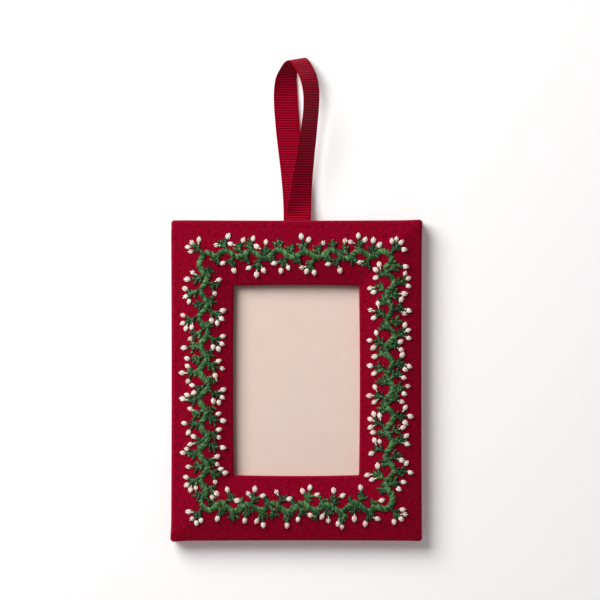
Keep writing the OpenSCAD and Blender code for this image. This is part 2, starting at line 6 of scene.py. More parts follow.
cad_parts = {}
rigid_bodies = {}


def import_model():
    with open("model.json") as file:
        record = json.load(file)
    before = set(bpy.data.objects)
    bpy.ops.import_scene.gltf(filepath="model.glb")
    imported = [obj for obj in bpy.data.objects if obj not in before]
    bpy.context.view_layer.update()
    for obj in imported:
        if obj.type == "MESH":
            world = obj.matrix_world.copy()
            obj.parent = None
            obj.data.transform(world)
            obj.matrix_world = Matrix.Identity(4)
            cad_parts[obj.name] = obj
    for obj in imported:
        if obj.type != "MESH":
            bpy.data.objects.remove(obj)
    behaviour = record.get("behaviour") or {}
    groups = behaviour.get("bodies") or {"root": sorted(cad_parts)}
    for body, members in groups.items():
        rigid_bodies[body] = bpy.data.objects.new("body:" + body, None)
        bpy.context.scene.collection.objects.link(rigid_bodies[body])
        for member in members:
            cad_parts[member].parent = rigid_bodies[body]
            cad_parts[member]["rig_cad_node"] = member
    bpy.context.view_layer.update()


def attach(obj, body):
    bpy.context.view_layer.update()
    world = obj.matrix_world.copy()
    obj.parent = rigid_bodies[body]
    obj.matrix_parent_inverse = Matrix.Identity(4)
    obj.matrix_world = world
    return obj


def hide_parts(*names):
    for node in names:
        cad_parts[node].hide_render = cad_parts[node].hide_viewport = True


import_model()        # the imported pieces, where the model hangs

mm = 0.001

# The frame is laid out face up in mm, x across and y up the frame from its middle, and
# then hung by its loop: out is towards the viewer, from the middle of the photo pocket
hanging = dict(pocketBack=0.8, middleUp=-124.0)
frameSize = dict(
    width=97, height=124, windowWidth=48.3, windowHeight=73.2,
    clothThickness=0.5, foldBulk=0.6, sideBow=0.2, windowBow=0.3, boardCorner=0.8, windowCorner=0.6,
    pocketHalf=0.5, boardThickness=2.5, padThickness=0.8, backThickness=2.0,
)
boardHalf = [
    frameSize[side] / 2 - frameSize["clothThickness"] - frameSize["foldBulk"]
    for side in ("width", "height")
]
holeHalf = [frameSize[side] / 2 + frameSize["clothThickness"] for side in ("windowWidth", "windowHeight")]
faceOut = (
    frameSize["pocketHalf"] + 2 * frameSize["clothThickness"]
    + frameSize["boardThickness"] + frameSize["padThickness"]
)
frameTop = boardHalf[1] + frameSize["clothThickness"]


def hung(x, y, out):
    return Vector((x, hanging["pocketBack"] - out, hanging["middleUp"] + y)) * mm


def mix(a, b, t):
    return a + (b - a) * t


def addObject(name, data):
    added = bpy.data.objects.new(name, data)
    bpy.context.scene.collection.objects.link(added)
    return added


def makeMesh(name, verts, faces, uvs=None):
    mesh = bpy.data.meshes.new(name)
    mesh.from_pydata([tuple(v) for v in verts], [], faces)
    if uvs:
        layer = mesh.uv_layers.new(name="cloth")
        for loop in mesh.loops:
            layer.data[loop.index].uv = uvs[loop.vertex_index]
    mesh.polygons.foreach_set("use_smooth", [True] * len(mesh.polygons))
    mesh.validate()
    return addObject(name, mesh)


def loftFaces(ringCount, pointCount, closeRings=False):
    faces = []
    for i in range(ringCount if closeRings else ringCount - 1):
        k = (i + 1) % ringCount
        for j in range(pointCount):
            m = (j + 1) % pointCount
            faces.append((i * pointCount + j, i * pointCount + m, k * pointCount + m, k * pointCount + j))
    return faces


def rodFaces(ringCount, pointCount):
    # The same turned inside out, with both ends closed
    last = (ringCount - 1) * pointCount
    faces = [f[::-1] for f in loftFaces(ringCount, pointCount)]
    return faces + [tuple(range(pointCount)), tuple(last + j for j in reversed(range(pointCount)))]


def cadPieces(nodeName):
    return [
        piece for piece in bpy.data.objects
        if piece.type == "MESH" and nodeName in (piece.get("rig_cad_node"), piece.name)
    ]


def addNode(tree, kind, settings=None, links=None):
    node = tree.nodes.new(kind)
    for key, value in (settings or {}).items():
        if isinstance(key, str) and hasattr(node, key) and key not in node.inputs:
            setattr(node, key, value)
        else:
            node.inputs[key].default_value = value
    for key, source in (links or {}).items():
        tree.links.new(source, node.inputs[key])
    return node


def linear(hexColour):
    channels = [int(hexColour[i:i + 2], 16) / 255 for i in (1, 3, 5)]
    return tuple(c / 12.92 if c <= 0.04045 else ((c + 0.055) / 1.055) ** 2.4 for c in channels) + (1,)


def newMaterial(name):
    material = bpy.data.materials.new(name)
    material.use_nodes = True
    tree = material.node_tree
    tree.nodes.clear()
    shader = addNode(tree, "ShaderNodeBsdfPrincipled")
    addNode(tree, "ShaderNodeOutputMaterial", links={"Surface": shader.outputs[0]})
    return material, tree, shader


def dress(tree, shader, sources, values):
    for name, source in sources.items():
        tree.links.new(source, shader.inputs[name])
    for name, value in values.items():
        shader.inputs[name].default_value = value


def mathNode(tree, operation, first, second=None):
    links, settings = {}, {"operation": operation}
    for socket, value in ((0, first), (1, second)):
        if isinstance(value, (int, float)):
            settings[socket] = value
        elif value is not None:
            links[socket] = value
    return addNode(tree, "ShaderNodeMath", settings, links).outputs[0]


def noiseNode(tree, at, scale, detail, roughness=0.5):
    settings = {"Scale": scale, "Detail": detail, "Roughness": roughness}
    return addNode(tree, "ShaderNodeTexNoise", settings, {"Vector": at}).outputs["Fac"]


def colourNode(tree, tone, stops):
    # stops: places from 0 to 1 with their colours, in order
    ramp = addNode(tree, "ShaderNodeValToRGB", links={0: tone})
    elements = ramp.color_ramp.elements
    elements[0].position, elements[0].color = stops[0][0], linear(stops[0][1])
    elements[1].position, elements[1].color = stops[-1][0], linear(stops[-1][1])
    for place, colour in stops[1:-1]:
        elements.new(place).color = linear(colour)
    return ramp.outputs[0]


def bumpNode(tree, height, strength, depth, under=None):
    links = {"Height": height}
    if under is not None:
        links["Normal"] = under
    return addNode(tree, "ShaderNodeBump", {"Strength": strength, "Distance": depth * mm}, links).outputs[0]


wovenCloth = dict(
    front="#9a0325", back="#88021f", darkYarnAndShade="#560010", fullTone=0.9,
    threadPitch=0.5,                 # mm, plain-weave linen of about 20 threads to the cm
    waverScale=45.0, waver=0.02,     # the yarns stray a little, in cm
    slubScale=1.6, slubStretch=(3.4, 15), slubMiddle=0.41, slubTone=3.4, weaveShadeShare=0.34,
    bump=0.5, weaveHeight=0.10, slubHeight=0.08,
    roughness=0.82, gloss=0.02, sheenRoughness=0.44, sheenTint="#ff4c7c",
)


def makeWeave(name, face):
    # Dyed linen, plain weave: uneven yarns give a fine grain and faint crossing streaks, and the weave is
    # painted darker where the yarns dip under each other (painted shade in its hollows)
    look = wovenCloth
    material, tree, shader = newMaterial(name)
    at = addNode(tree, "ShaderNodeUVMap", {"uv_map": "cloth"}).outputs[0]
    stray = addNode(tree, "ShaderNodeTexNoise", {"Scale": look["waverScale"], "Detail": 2.0}, {"Vector": at})
    scaling = {"operation": "SCALE", "Scale": look["waver"]}
    shift = addNode(tree, "ShaderNodeVectorMath", scaling, {0: stray.outputs["Color"]})
    moved = addNode(tree, "ShaderNodeVectorMath", {"operation": "ADD"}, {0: at, 1: shift.outputs[0]})
    axes = addNode(tree, "ShaderNodeSeparateXYZ", links={0: moved.outputs[0]})
    turnPerCm = pi * 10 / look["threadPitch"]
    across = mathNode(tree, "SINE", mathNode(tree, "MULTIPLY", axes.outputs[0], turnPerCm))
    along = mathNode(tree, "SINE", mathNode(tree, "MULTIPLY", axes.outputs[1], turnPerCm))
    over = mathNode(tree, "MULTIPLY_ADD", mathNode(tree, "MULTIPLY", across, along), 0.5)
    over.node.inputs[2].default_value = 0.5
    under = mathNode(tree, "SUBTRACT", 1.0, over)
    warp = mathNode(tree, "MULTIPLY", mathNode(tree, "ABSOLUTE", across), over)
    weft = mathNode(tree, "MULTIPLY", mathNode(tree, "ABSOLUTE", along), under)
    weave = mathNode(tree, "ADD", warp, weft)
    wide, fine = look["slubStretch"]
    streaks = []
    for stretch in ((wide, fine, 1), (fine, wide, 1)):     # slubs run along each set of yarns
        scaled = addNode(tree, "ShaderNodeMapping", {"Scale": stretch}, {"Vector": at}).outputs[0]
        streaks.append(noiseNode(tree, scaled, look["slubScale"], 3.0, 0.6))
    slub = mathNode(tree, "MULTIPLY", mathNode(tree, "ADD", *streaks), 0.5)
    slubDrift = mathNode(tree, "SUBTRACT", slub, look["slubMiddle"])
    slubTone = mathNode(tree, "MULTIPLY", slubDrift, look["slubTone"])
    # painted shade: the tone falls where the weave dips between yarns; the slubs are the yarns' own
    # unevenness
    tone = mathNode(tree, "ADD", mathNode(tree, "MULTIPLY", weave, look["weaveShadeShare"]), slubTone)
    colour = colourNode(tree, tone, ((0.0, look["darkYarnAndShade"]), (look["fullTone"], face)))
    weaveBump = bumpNode(tree, weave, look["bump"], look["weaveHeight"])
    slubBump = bumpNode(tree, slub, look["bump"], look["slubHeight"], weaveBump)
    dress(tree, shader, {"Base Color": colour, "Normal": slubBump}, {
        "Roughness": look["roughness"], "Specular IOR Level": look["gloss"], "Sheen Weight": 1.0,
        "Sheen Roughness": look["sheenRoughness"], "Sheen Tint": linear(look["sheenTint"]),
    })
    return material


redLinen = makeWeave("dyed_linen_front", wovenCloth["front"])
backingLinen = makeWeave("dyed_linen_backing", wovenCloth["back"])

threadLook = dict(fibreScale=2600.0, fibreTone=0.35, bump=0.4, bumpDepth=0.04, sheen=0.05, sheenRoughness=0.4)


def makeThread(name, dark, middle, light, roughness):
    # Rayon embroidery thread: smooth fibres with a soft silky gleam, each stitch its own tone
    look = threadLook
    material, tree, shader = newMaterial(name)
    tone = addNode(tree, "ShaderNodeAttribute", {"attribute_name": "tone"}).outputs["Fac"]
    at = addNode(tree, "ShaderNodeTexCoord").outputs["Object"]
    fibre = noiseNode(tree, at, look["fibreScale"], 2.0)
    fibreTone = mathNode(tree, "MULTIPLY", mathNode(tree, "SUBTRACT", fibre, 0.5), look["fibreTone"])
    mixed = mathNode(tree, "ADD", tone, fibreTone)
    colour = colourNode(tree, mixed, ((0.0, dark), (0.5, middle), (1.0, light)))
    bump = bumpNode(tree, fibre, look["bump"], look["bumpDepth"])
    dress(tree, shader, {"Base Color": colour, "Normal": bump}, {
        "Roughness": roughness, "Sheen Weight": look["sheen"], "Sheen Roughness": look["sheenRoughness"],
    })
    return material


greenThread = makeThread("green_rayon_thread", "#041b07", "#205c2a", "#74ac64", 0.3)
creamThread = makeThread("cream_rayon_thread", "#eecdc0", "#fde6da", "#fffaf2", 0.5)

grosgrainLook = dict(
    grooveShade="#5c0010", base="#9c0422", crestHighlight="#c41c42", places=(0.05, 0.72, 0.96),
    ribShare=0.75, warpPitch=0.35, bump=0.35, bumpDepth=0.05,
    roughness=0.4, gloss=0.04, glossTint="#ff8296", sheen=0.7, sheenRoughness=0.3, sheenTint="#ff3c60",
)


def makeGrosgrain(name):
    # Woven polyester ribbon: cross ribs over a fine warp, with a faint gleam on each rib; the rib crests are
    # painted lighter (painted highlight) and the grooves between ribs and warp threads darker (painted shade)
    look = grosgrainLook
    material, tree, shader = newMaterial(name)
    at = addNode(tree, "ShaderNodeUVMap", {"uv_map": "cloth"}).outputs[0]
    axes = addNode(tree, "ShaderNodeSeparateXYZ", links={0: at})
    rib = addNode(tree, "ShaderNodeAttribute", {"attribute_name": "rib"}).outputs["Fac"]
    turn = mathNode(tree, "MULTIPLY", axes.outputs[0], pi * 10 / look["warpPitch"])
    warp = mathNode(tree, "ABSOLUTE", mathNode(tree, "SINE", turn))
    ribShadeAndHighlight = mathNode(tree, "MULTIPLY", rib, look["ribShare"])
    tone = mathNode(tree, "ADD", ribShadeAndHighlight, mathNode(tree, "MULTIPLY", warp, 1 - look["ribShare"]))
    # painted shade and highlight: darker in the grooves between ribs and warp threads, lighter on the rib
    # crests
    stops = list(zip(look["places"], (look["grooveShade"], look["base"], look["crestHighlight"])))
    bump = bumpNode(tree, warp, look["bump"], look["bumpDepth"])
    dress(tree, shader, {"Base Color": colourNode(tree, tone, stops), "Normal": bump}, {
        "Roughness": look["roughness"],
        "Specular IOR Level": look["gloss"], "Specular Tint": linear(look["glossTint"]),
        "Sheen Weight": look["sheen"], "Sheen Roughness": look["sheenRoughness"],
        "Sheen Tint": linear(look["sheenTint"]),
    })
    return material


grosgrain = makeGrosgrain("polyester_grosgrain")

fibreLook = dict(cloudSize=0.12, cloudShare=0.6, bump=0.3, gloss=0.3, darkPlace=0.3, lightPlace=0.7)


def makeFibrous(name, light, dark, scale, roughness, bumpDepth):
    # Pressed fibre sheet: cloudy tone with short fibres, matt all over
    look = fibreLook
    material, tree, shader = newMaterial(name)
    at = addNode(tree, "ShaderNodeTexCoord").outputs["Object"]
    cloud = noiseNode(tree, at, scale * look["cloudSize"], 3.0)
    fibre = noiseNode(tree, at, scale, 4.0, 0.65)
    cloudTone = mathNode(tree, "MULTIPLY", cloud, look["cloudShare"])
    tone = mathNode(tree, "ADD", cloudTone, mathNode(tree, "MULTIPLY", fibre, 1 - look["cloudShare"]))
    colour = colourNode(tree, tone, ((look["darkPlace"], dark), (look["lightPlace"], light)))
    sources = {"Base Color": colour, "Normal": bumpNode(tree, fibre, look["bump"], bumpDepth)}
    dress(tree, shader, sources, {"Roughness": roughness, "Specular IOR Level": look["gloss"]})
    return material


greyboard = makeFibrous("greyboard", "#b9ab95", "#a3967f", 900, 0.9, 0.05)
blushCard = makeFibrous("coated_card", "#efd8ca", "#ebd3c4", 1500, 0.6, 0.01)
batting = makeFibrous("polyester_batting", "#f4f1ea", "#e4dfd4", 500, 0.95, 0.2)

filmLook = dict(
    colour="#eef4f5", roughness=0.12, index=1.49, cover=0.05,
    smearScale=60.0, bump=0.05, bumpDepth=0.05,
)


def makeFilm(name):
    # Clear film: lets the card show through, with a weak gloss at its face
    look = filmLook
    material, tree, shader = newMaterial(name)
    at = addNode(tree, "ShaderNodeTexCoord").outputs["Object"]
    smear = noiseNode(tree, at, look["smearScale"], 2.0)
    dress(tree, shader, {"Normal": bumpNode(tree, smear, look["bump"], look["bumpDepth"])}, {
        "Base Color": linear(look["colour"]), "Roughness": look["roughness"],
        "IOR": look["index"], "Alpha": look["cover"],
    })
    return material


clearFilm = makeFilm("clear_film")
print("materials made")


quarters = ((1, 1), (-1, 1), (-1, -1), (1, -1))      # signs of x and y, from top right, turning left


def outline(halfW, halfH, radius, bow, sideSteps=44, cornerSteps=8, crowding=0.06):
    # Points turning left, each with its outward direction; the sides bow inwards at mid length
    corners = []
    for q, (sx, sy) in enumerate(quarters):
        turns = [pi / 2 * (q + i / cornerSteps) for i in range(cornerSteps + 1)]
        corners.append([
            (sx * (halfW - radius) + radius * cos(a), sy * (halfH - radius) + radius * sin(a), cos(a), sin(a))
            for a in turns
        ])
    points = []
    for q in range(4):
        points += corners[q]
        start, end = corners[q][-1], corners[(q + 1) % 4][0]
        nx, ny = cos(pi / 2 * (q + 1)), sin(pi / 2 * (q + 1))
        for i in range(1, sideSteps):
            t = i / sideSteps
            t -= crowding * sin(2 * pi * t)      # closer points near the corners
            inward = bow * (1 - (2 * t - 1) ** 2)
            x, y = mix(start[0], end[0], t), mix(start[1], end[1], t)
            points.append((x - nx * inward, y - ny * inward, nx, ny))
    return points


swelling = dict(height=2.6, ridge=0.2, edgeRound=1.8, lipRound=1.5)
faceEdge = [h - (swelling["edgeRound"] - frameSize["clothThickness"]) for h in boardHalf]
faceLip = [h + (swelling["lipRound"] - frameSize["clothThickness"]) for h in holeHalf]


def swell(share):
    # 0 at either edge of the border and 1 over the vine, with nearly even slopes
    share = min(max(share, 0), 1)
    r = swelling["ridge"]
    full = sqrt(1 + r * r) - r
    return swelling["height"] * (1 - (sqrt((2 * share - 1) ** 2 + r * r) - r) / full)


def clothHeight(x, y):
    sides = zip((x, y), faceEdge, faceLip)
    return faceOut + swell(min((edge - abs(at)) / (edge - lip) for at, edge, lip in sides))


def clothSkin(name, verts, faces, uvs, thickness, material):
    piece = makeMesh(name, verts, faces, uvs)
    area = sum(p.area for p in piece.data.polygons)
    thicken = piece.modifiers.new("cloth_thickness", "SOLIDIFY")
    thicken.thickness = thickness * mm
    thicken.offset = -1
    piece.data.materials.append(material)
    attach(piece, "root")
    return piece, area


frontCloth = dict(
    thickness=0.42, turnIn=10, windowTurnIn=8, faceRings=26, turnRings=8,
    heel=((0.45, 0.05, 0.5), (0.12, 0.25, 0)),   # inset, rise and run where the side turns in
    toe=((0, 0.3, 0), (0.12, 0.05, 0.3)),        # the same where the lip turns in
    # how far out from the pocket each of these is or starts
    seat=0.02, foldsFrom=0.1, puckersFrom=0.5, wallFrom=0.6,
    corners=((0.25, 8), (-0.35, 5), (0.4, 7), (0.1, 6)),      # bulge and reach of the folds
    pucker=0.05, lumps=((0.16, 3.7, 1), (0.45, 9.1, 0.5)),    # how close, place in the noise, share
    creaseDepth=0.45, creaseWidth=0.35, creaseReach=2.2,
)
edgeRound, lipRound = swelling["edgeRound"], swelling["lipRound"]
sideRun = edgeRound * pi / 2 + (faceOut - edgeRound - frameSize["pocketHalf"])
lipRun = lipRound * pi / 2 + faceOut - lipRound - frameSize["pocketHalf"]


def frontRings():
    # Each ring: half sizes, corner radius, bow, out, cloth run on past the face's edge, and its part
    look, size = frontCloth, frameSize
    thick, pocket, corner = size["clothThickness"], size["pocketHalf"], size["boardCorner"]
    rings = []

    def edge(inset, radius, bow, out, run):
        rings.append((boardHalf[0] - inset, boardHalf[1] - inset, radius, bow, out, run, "edge"))

    def lip(inset, radius, bow, out, run):
        rings.append((holeHalf[0] + inset, holeHalf[1] + inset, radius, bow, out, run, "lip"))

    sideOff = -(thick + size["foldBulk"])
    for share in (1, 0.6, 0.2):
        tucked = look["turnIn"] * share
        edge(tucked, corner, 0, pocket + look["seat"], sideRun + tucked + 1)
    edge(0.1, corner, 0.1, pocket + look["seat"], sideRun + 1.2)
    for inset, rise, run in look["heel"]:
        edge(sideOff + inset, corner + thick, size["sideBow"], pocket + rise, sideRun + run)
    for share in (0, 0.25, 0.5, 0.75):
        out = mix(pocket + look["wallFrom"], faceOut - edgeRound, share)
        edge(sideOff, corner + thick, size["sideBow"], out, edgeRound * pi / 2 + faceOut - edgeRound - out)
    for i in range(look["turnRings"] + 1):
        a = pi / 2 * i / look["turnRings"]
        edge(
            -thick - size["foldBulk"] * cos(a) + edgeRound * (1 - cos(a)), corner + thick,
            size["sideBow"] * cos(a), faceOut - edgeRound * (1 - sin(a)), edgeRound * (pi / 2 - a),
        )
    for i in range(1, look["faceRings"]):
        t = i / look["faceRings"]
        radius = mix(corner + thick, size["windowCorner"] + lipRound, t)
        halves = [mix(faceEdge[axis], faceLip[axis], t) for axis in (0, 1)]
        rings.append((*halves, radius, 0, faceOut + swell(t), 0, "face"))
    for i in range(look["turnRings"] + 1):
        a = pi / 2 * (1 - i / look["turnRings"])
        lip(
            -thick + lipRound * (1 - cos(a)), size["windowCorner"] + lipRound * (1 - cos(a)),
            -size["windowBow"] * cos(a), faceOut - lipRound * (1 - sin(a)), lipRound * (pi / 2 - a),
        )
    for share in (0.35, 0.7):
        out = mix(faceOut - lipRound, pocket, share)
        run = lipRound * pi / 2 + faceOut - lipRound - out
        lip(-thick, size["windowCorner"], -size["windowBow"], out, run)
    for inset, rise, run in look["toe"]:
        lip(-thick + inset, size["windowCorner"], -size["windowBow"], pocket + rise, lipRun + run)
    for share in (0.1, 0.5, 1):
        tucked = look["windowTurnIn"] * share
        lip(tucked, size["windowCorner"], 0, pocket + look["seat"], lipRun + tucked)
    return rings


def foldCorners(x, y):
    # The folded cloth stands proud or sinks at each outer corner
    for (sx, sy), (bulge, reach) in zip(quarters, frontCloth["corners"]):
        away = sqrt((x - boardHalf[0] * sx) ** 2 + (y - boardHalf[1] * sy) ** 2)
        fall = max(0, 1 - away / reach) ** 2
        x += fall * bulge * sx
        y += fall * bulge * sy
    return x, y


def nickDepth(x, y):
    # The cloth is nicked and tucked at each window corner
    look = frontCloth
    dx, dy = abs(x) - holeHalf[0], abs(y) - holeHalf[1]
    off, along = abs(dx - dy) / sqrt(2), (dx + dy) / sqrt(2)
    depth = look["creaseDepth"] * max(0, 1 - off / look["creaseWidth"])
    return depth * min(1, max(0, (look["creaseReach"] - along) / look["creaseReach"]))


def buildFrontCloth():
    look, size = frontCloth, frameSize
    pocket = size["pocketHalf"]
    rings = frontRings()
    edgePoints = outline(*faceEdge, size["boardCorner"] + size["clothThickness"], 0)
    lipPoints = outline(*faceLip, size["windowCorner"] + lipRound, 0)
    verts, uvs = [], []
    for halfW, halfH, radius, bow, out, run, part in rings:
        for j, (x, y, nx, ny) in enumerate(outline(halfW, halfH, radius, bow)):
            if part == "face":
                ux, uy = x, y
            elif part == "edge":
                ux, uy = edgePoints[j][0] + nx * run, edgePoints[j][1] + ny * run
            else:
                ux, uy = lipPoints[j][0] - nx * run, lipPoints[j][1] - ny * run
            uvs.append((ux * 0.1, uy * 0.1))       # in cm
            if part != "lip" and out > pocket + look["foldsFrom"]:
                x, y = foldCorners(x, y)
            height = out
            if out > pocket + look["puckersFrom"] and (part != "lip" or run < lipRound):
                lump = sum(
                    share * noise.noise(Vector((x * close, y * close, place)))
                    for close, place, share in look["lumps"]
                )
                height += look["pucker"] * lump * (1 if part == "face" else 0.5)
            if part != "edge" and out > pocket + look["wallFrom"]:
                height -= nickDepth(x, y)
            verts.append(hung(x, y, height))
    faces = loftFaces(len(rings), len(edgePoints))
    piece, area = clothSkin("front_cloth_skin", verts, faces, uvs, look["thickness"], redLinen)
    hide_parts("front_cloth")


buildFrontCloth()
print("front cloth made")


backCloth = dict(
    thickness=0.42, turnIn=10, edgeRound=1.2, turnRings=6, seat=0.02,
    faceShares=(0.02, 0.15, 0.3, 0.45, 0.6, 0.75, 0.9),
    wall=((-1.6, 0), (-0.9, 0), (-0.65, 0.12)),      # out and inset of the rings down the side
    heel=0.45, tucks=((0.1, 0.1), (3, 0), (7, 0)),   # insets and bows of the cloth turned in
    pucker=0.04, lumpClose=0.14, lumpPlace=21.3, mapShare=0.8,
)


def backRings(faceBack):
    # Each ring: half sizes, corner radius, bow, out, and cloth run on past the face's edge
    look, size = backCloth, frameSize
    thick, pocket, er = size["clothThickness"], size["pocketHalf"], look["edgeRound"]
    flat = (boardHalf[0] + thick - er, boardHalf[1] + thick - er)
    corner = size["boardCorner"] + thick
    rings = [(flat[0] * s, flat[1] * s, corner * s, 0, faceBack, 0) for s in look["faceShares"]]

    def ring(inset, radius, bow, out, run):
        rings.append((boardHalf[0] - inset, boardHalf[1] - inset, radius, bow, out, run))

    for i in range(look["turnRings"], -1, -1):
        a = pi / 2 * i / look["turnRings"]
        inset = -thick - size["foldBulk"] * cos(a) + er * (1 - cos(a))
        ring(inset, corner, size["sideBow"] * cos(a), faceBack + er * (1 - sin(a)), er * (pi / 2 - a))
    sideOff = -(thick + size["foldBulk"])
    run = er * pi / 2
    for out, inset in look["wall"]:
        ring(sideOff + inset, corner, size["sideBow"], out, run + out - faceBack - er)
    run += -pocket - faceBack - er
    for inset, bow in ((sideOff + look["heel"], size["sideBow"]), *look["tucks"], (look["turnIn"], 0)):
        radius = size["boardCorner"] + (thick if inset < 0 else 0)
        ring(inset, radius, bow, -pocket - look["seat"], run + inset + 1.1)
    return rings


def buildBackCloth():
    look, size = backCloth, frameSize
    faceBack = -(size["pocketHalf"] + 2 * size["clothThickness"] + size["backThickness"])
    rings = backRings(faceBack)
    verts, uvs = [], []
    for halfW, halfH, radius, bow, out, run in rings:
        for x, y, nx, ny in outline(halfW, halfH, radius, bow):
            ux, uy = x + nx * run * look["mapShare"], y + ny * run * look["mapShare"]
            uvs.append((ux * 0.1, uy * 0.1))       # in cm
            lump = noise.noise(Vector((x * look["lumpClose"], y * look["lumpClose"], look["lumpPlace"])))
            verts.append(hung(x, y, out + (look["pucker"] * lump if out < -1 else 0)))
    count = len(verts) // len(rings)
    faces = loftFaces(len(rings), count)
    middle = len(verts)
    verts.append(hung(0, 0, faceBack))
    uvs.append((0, 0))
    faces += [(middle, (j + 1) % count, j) for j in range(count)]
    piece, area = clothSkin("back_cloth_skin", verts, faces, uvs, look["thickness"], backingLinen)
    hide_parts("back_cloth")


buildBackCloth()
print("back cloth made")


softLayer = dict(inset=1.0, room=0.06, rings=18, edgeCorner=0.5, lipCorner=1.5, puckers=1.5)


def buildBatting():
    look, size = softLayer, frameSize
    low = size["pocketHalf"] + size["clothThickness"] + size["boardThickness"]
    under = frontCloth["thickness"] + look["room"]
    rings = [(boardHalf[0] - look["inset"], boardHalf[1] - look["inset"], size["boardCorner"], low)]
    for i in range(look["rings"] + 1):
        t = i / look["rings"]
        rings.append((
            mix(faceEdge[0], faceLip[0], t), mix(faceEdge[1], faceLip[1], t),
            mix(size["boardCorner"] + look["edgeCorner"], size["windowCorner"] + look["lipCorner"], t),
            faceOut + swell(t) - under - frontCloth["pucker"] * look["puckers"],
        ))
    radius = size["windowCorner"] + look["inset"]
    rings.append((holeHalf[0] + look["inset"], holeHalf[1] + look["inset"], radius, low))
    verts = []
    for halfW, halfH, radius, out in rings:
        verts += [hung(x, y, out) for x, y, nx, ny in outline(halfW, halfH, radius, 0, 20, 4)]
    piece = makeMesh("batting_layer", verts, loftFaces(len(rings), len(verts) // len(rings), True))
    piece.data.materials.append(batting)
    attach(piece, "root")
    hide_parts("padding")


buildBatting()
print("soft layer made")


vineRule = dict(
    sideInset=12.65, endInset=13.2, turnRadius=4, waveLength=10.4, waveHeight=1.35,
    lowSway=0.3, lowShare=0.6, lowStart=40,
    sprigLength=4.3, sideExtra=1.2, stubLength=2.3, lean=60, leanScatter=14, rootScatter=0.25,
    cornerPush=1.5, cornerReach=5, cornerClear=1.4,
)
runW = frameSize["width"] - 2 * vineRule["sideInset"] - 2 * vineRule["turnRadius"]
runH = frameSize["height"] - 2 * vineRule["endInset"] - 2 * vineRule["turnRadius"]
runTurn = pi * vineRule["turnRadius"] / 2
halfRun = runW + runH + 2 * runTurn
vineLength = 2 * halfRun
waves = round(vineLength / vineRule["waveLength"])
slowWaves = round(waves * vineRule["lowShare"])
sprigCount = 4 * waves
sprigStep = vineLength / sprigCount
cornerMids = [half + s for s in (runW + runTurn / 2, halfRun - runTurn / 2) for half in (0, halfRun)]


def vineRoute(s):
    s %= vineLength
    r, flip = vineRule["turnRadius"], s >= halfRun
    if flip:
        s -= halfRun
    if s < runW:
        x, y, a = s - runW / 2, -(runH / 2 + r), 0
    elif s < runW + runTurn:
        t = 90 * (s - runW) / runTurn - 90
        x, y, a = runW / 2 + r * cos(radians(t)), -runH / 2 + r * sin(radians(t)), t + 90
    elif s < runW + runTurn + runH:
        x, y, a = runW / 2 + r, s - runW - runTurn - runH / 2, 90
    else:
        t = 90 * (s - runW - runTurn - runH) / runTurn
        x, y, a = runW / 2 + r * cos(radians(t)), runH / 2 + r * sin(radians(t)), t + 90
    return (-x, -y, a + 180) if flip else (x, y, a)


def toCorner(s):
    return min(min(abs(s - c), vineLength - abs(s - c)) for c in cornerMids)


def vine(s):
    # It sways from side to side, and swings out into each corner
    s %= vineLength
    x, y, a = vineRoute(s)
    turn = 2 * pi * s / vineLength
    slow = sin(slowWaves * turn + radians(vineRule["lowStart"]))
    wave = sin(waves * turn) + vineRule["lowSway"] * slow
    out = (1 + cos(pi * min(1, toCorner(s) / vineRule["cornerReach"]))) / 2
    w = vineRule["waveHeight"] * wave * (1 - out) - vineRule["cornerPush"] * out
    return x - w * sin(radians(a)), y + w * cos(radians(a)), a


def vary(k, salt):
    # A steady scatter from -1 to 1, the same each run
    def part(x):
        return x - floor(x)
    return part(k * 0.618034 + salt * 0.41421) + part(k * k * 0.7548777 + salt * 0.5698) - 1


def stepTo(p, a, r):
    return p[0] + r * cos(radians(a)), p[1] + r * sin(radians(a))


def onFace(p, room):
    return (
        abs(p[0]) < faceEdge[0] - room and abs(p[1]) < faceEdge[1] - room
        and (abs(p[0]) > faceLip[0] + room or abs(p[1]) > faceLip[1] + room)
    )


# Each kind: main twig's share, then each side twig's share along it, turn and share of length
sprigKinds = (
    (1, (0.42, -52, 1), (0.6, 50, 0.95), (0.8, -46, 0.83)),
    (0.62, (0.4, 62, 0.95)),
    (0.95, (0.4, 50, 1.04), (0.55, -48, 1), (0.78, 44, 0.87)),
)
sprigOrder = (0, 1, 2, 0, 1)
forkTwigs = ((28, 1), (-38, 0.95))      # turn and share of length of the two twigs at a forked end


def sprigTwigs(k):
    # The outer sprig nearest each corner stands in it, and those that would crowd it are left out
    side = 1 if k % 2 else -1
    s = (k + 0.5) * sprigStep
    corner = [] if side == 1 else [c for c in cornerMids if abs(s - c) < sprigStep]
    x, y, a = vine(corner[0] if corner else s + vineRule["rootScatter"] * vary(k, 3) * sprigStep)
    if side == 1 and min(a % 90, 90 - a % 90) > 1:
        return []
    if side == -1 and not corner and toCorner(s) < vineRule["cornerClear"] * sprigStep:
        return []
    lean = a + side * (90 if corner else vineRule["lean"] + vineRule["leanScatter"] * vary(k, 1))
    length = vineRule["sprigLength"] + vineRule["sideExtra"] * abs(sin(radians(a)))
    length += 0 if corner else vary(k, 2)
    kind = 0 if corner else sprigOrder[(k * 3 + k // 5) % 5]
    main, *sides = sprigKinds[kind]
    root, stub = (x, y), vineRule["stubLength"]
    twigs = [(root, lean, length * main, kind == 0, 0)]
    if kind == 1:
        fork = stepTo(root, lean, length * main)
        twigs += [(fork, lean + turn * side, stub * share, True, 1) for turn, share in forkTwigs]
    for share, turn, size in sides:
        twigs.append((stepTo(root, lean, length * share), lean + turn * side, stub * size, True, 1))
    return twigs


threadShape = dict(reach=0.96, half=0.5, tipShare=0.7, sink=0.3, flat=0.8)


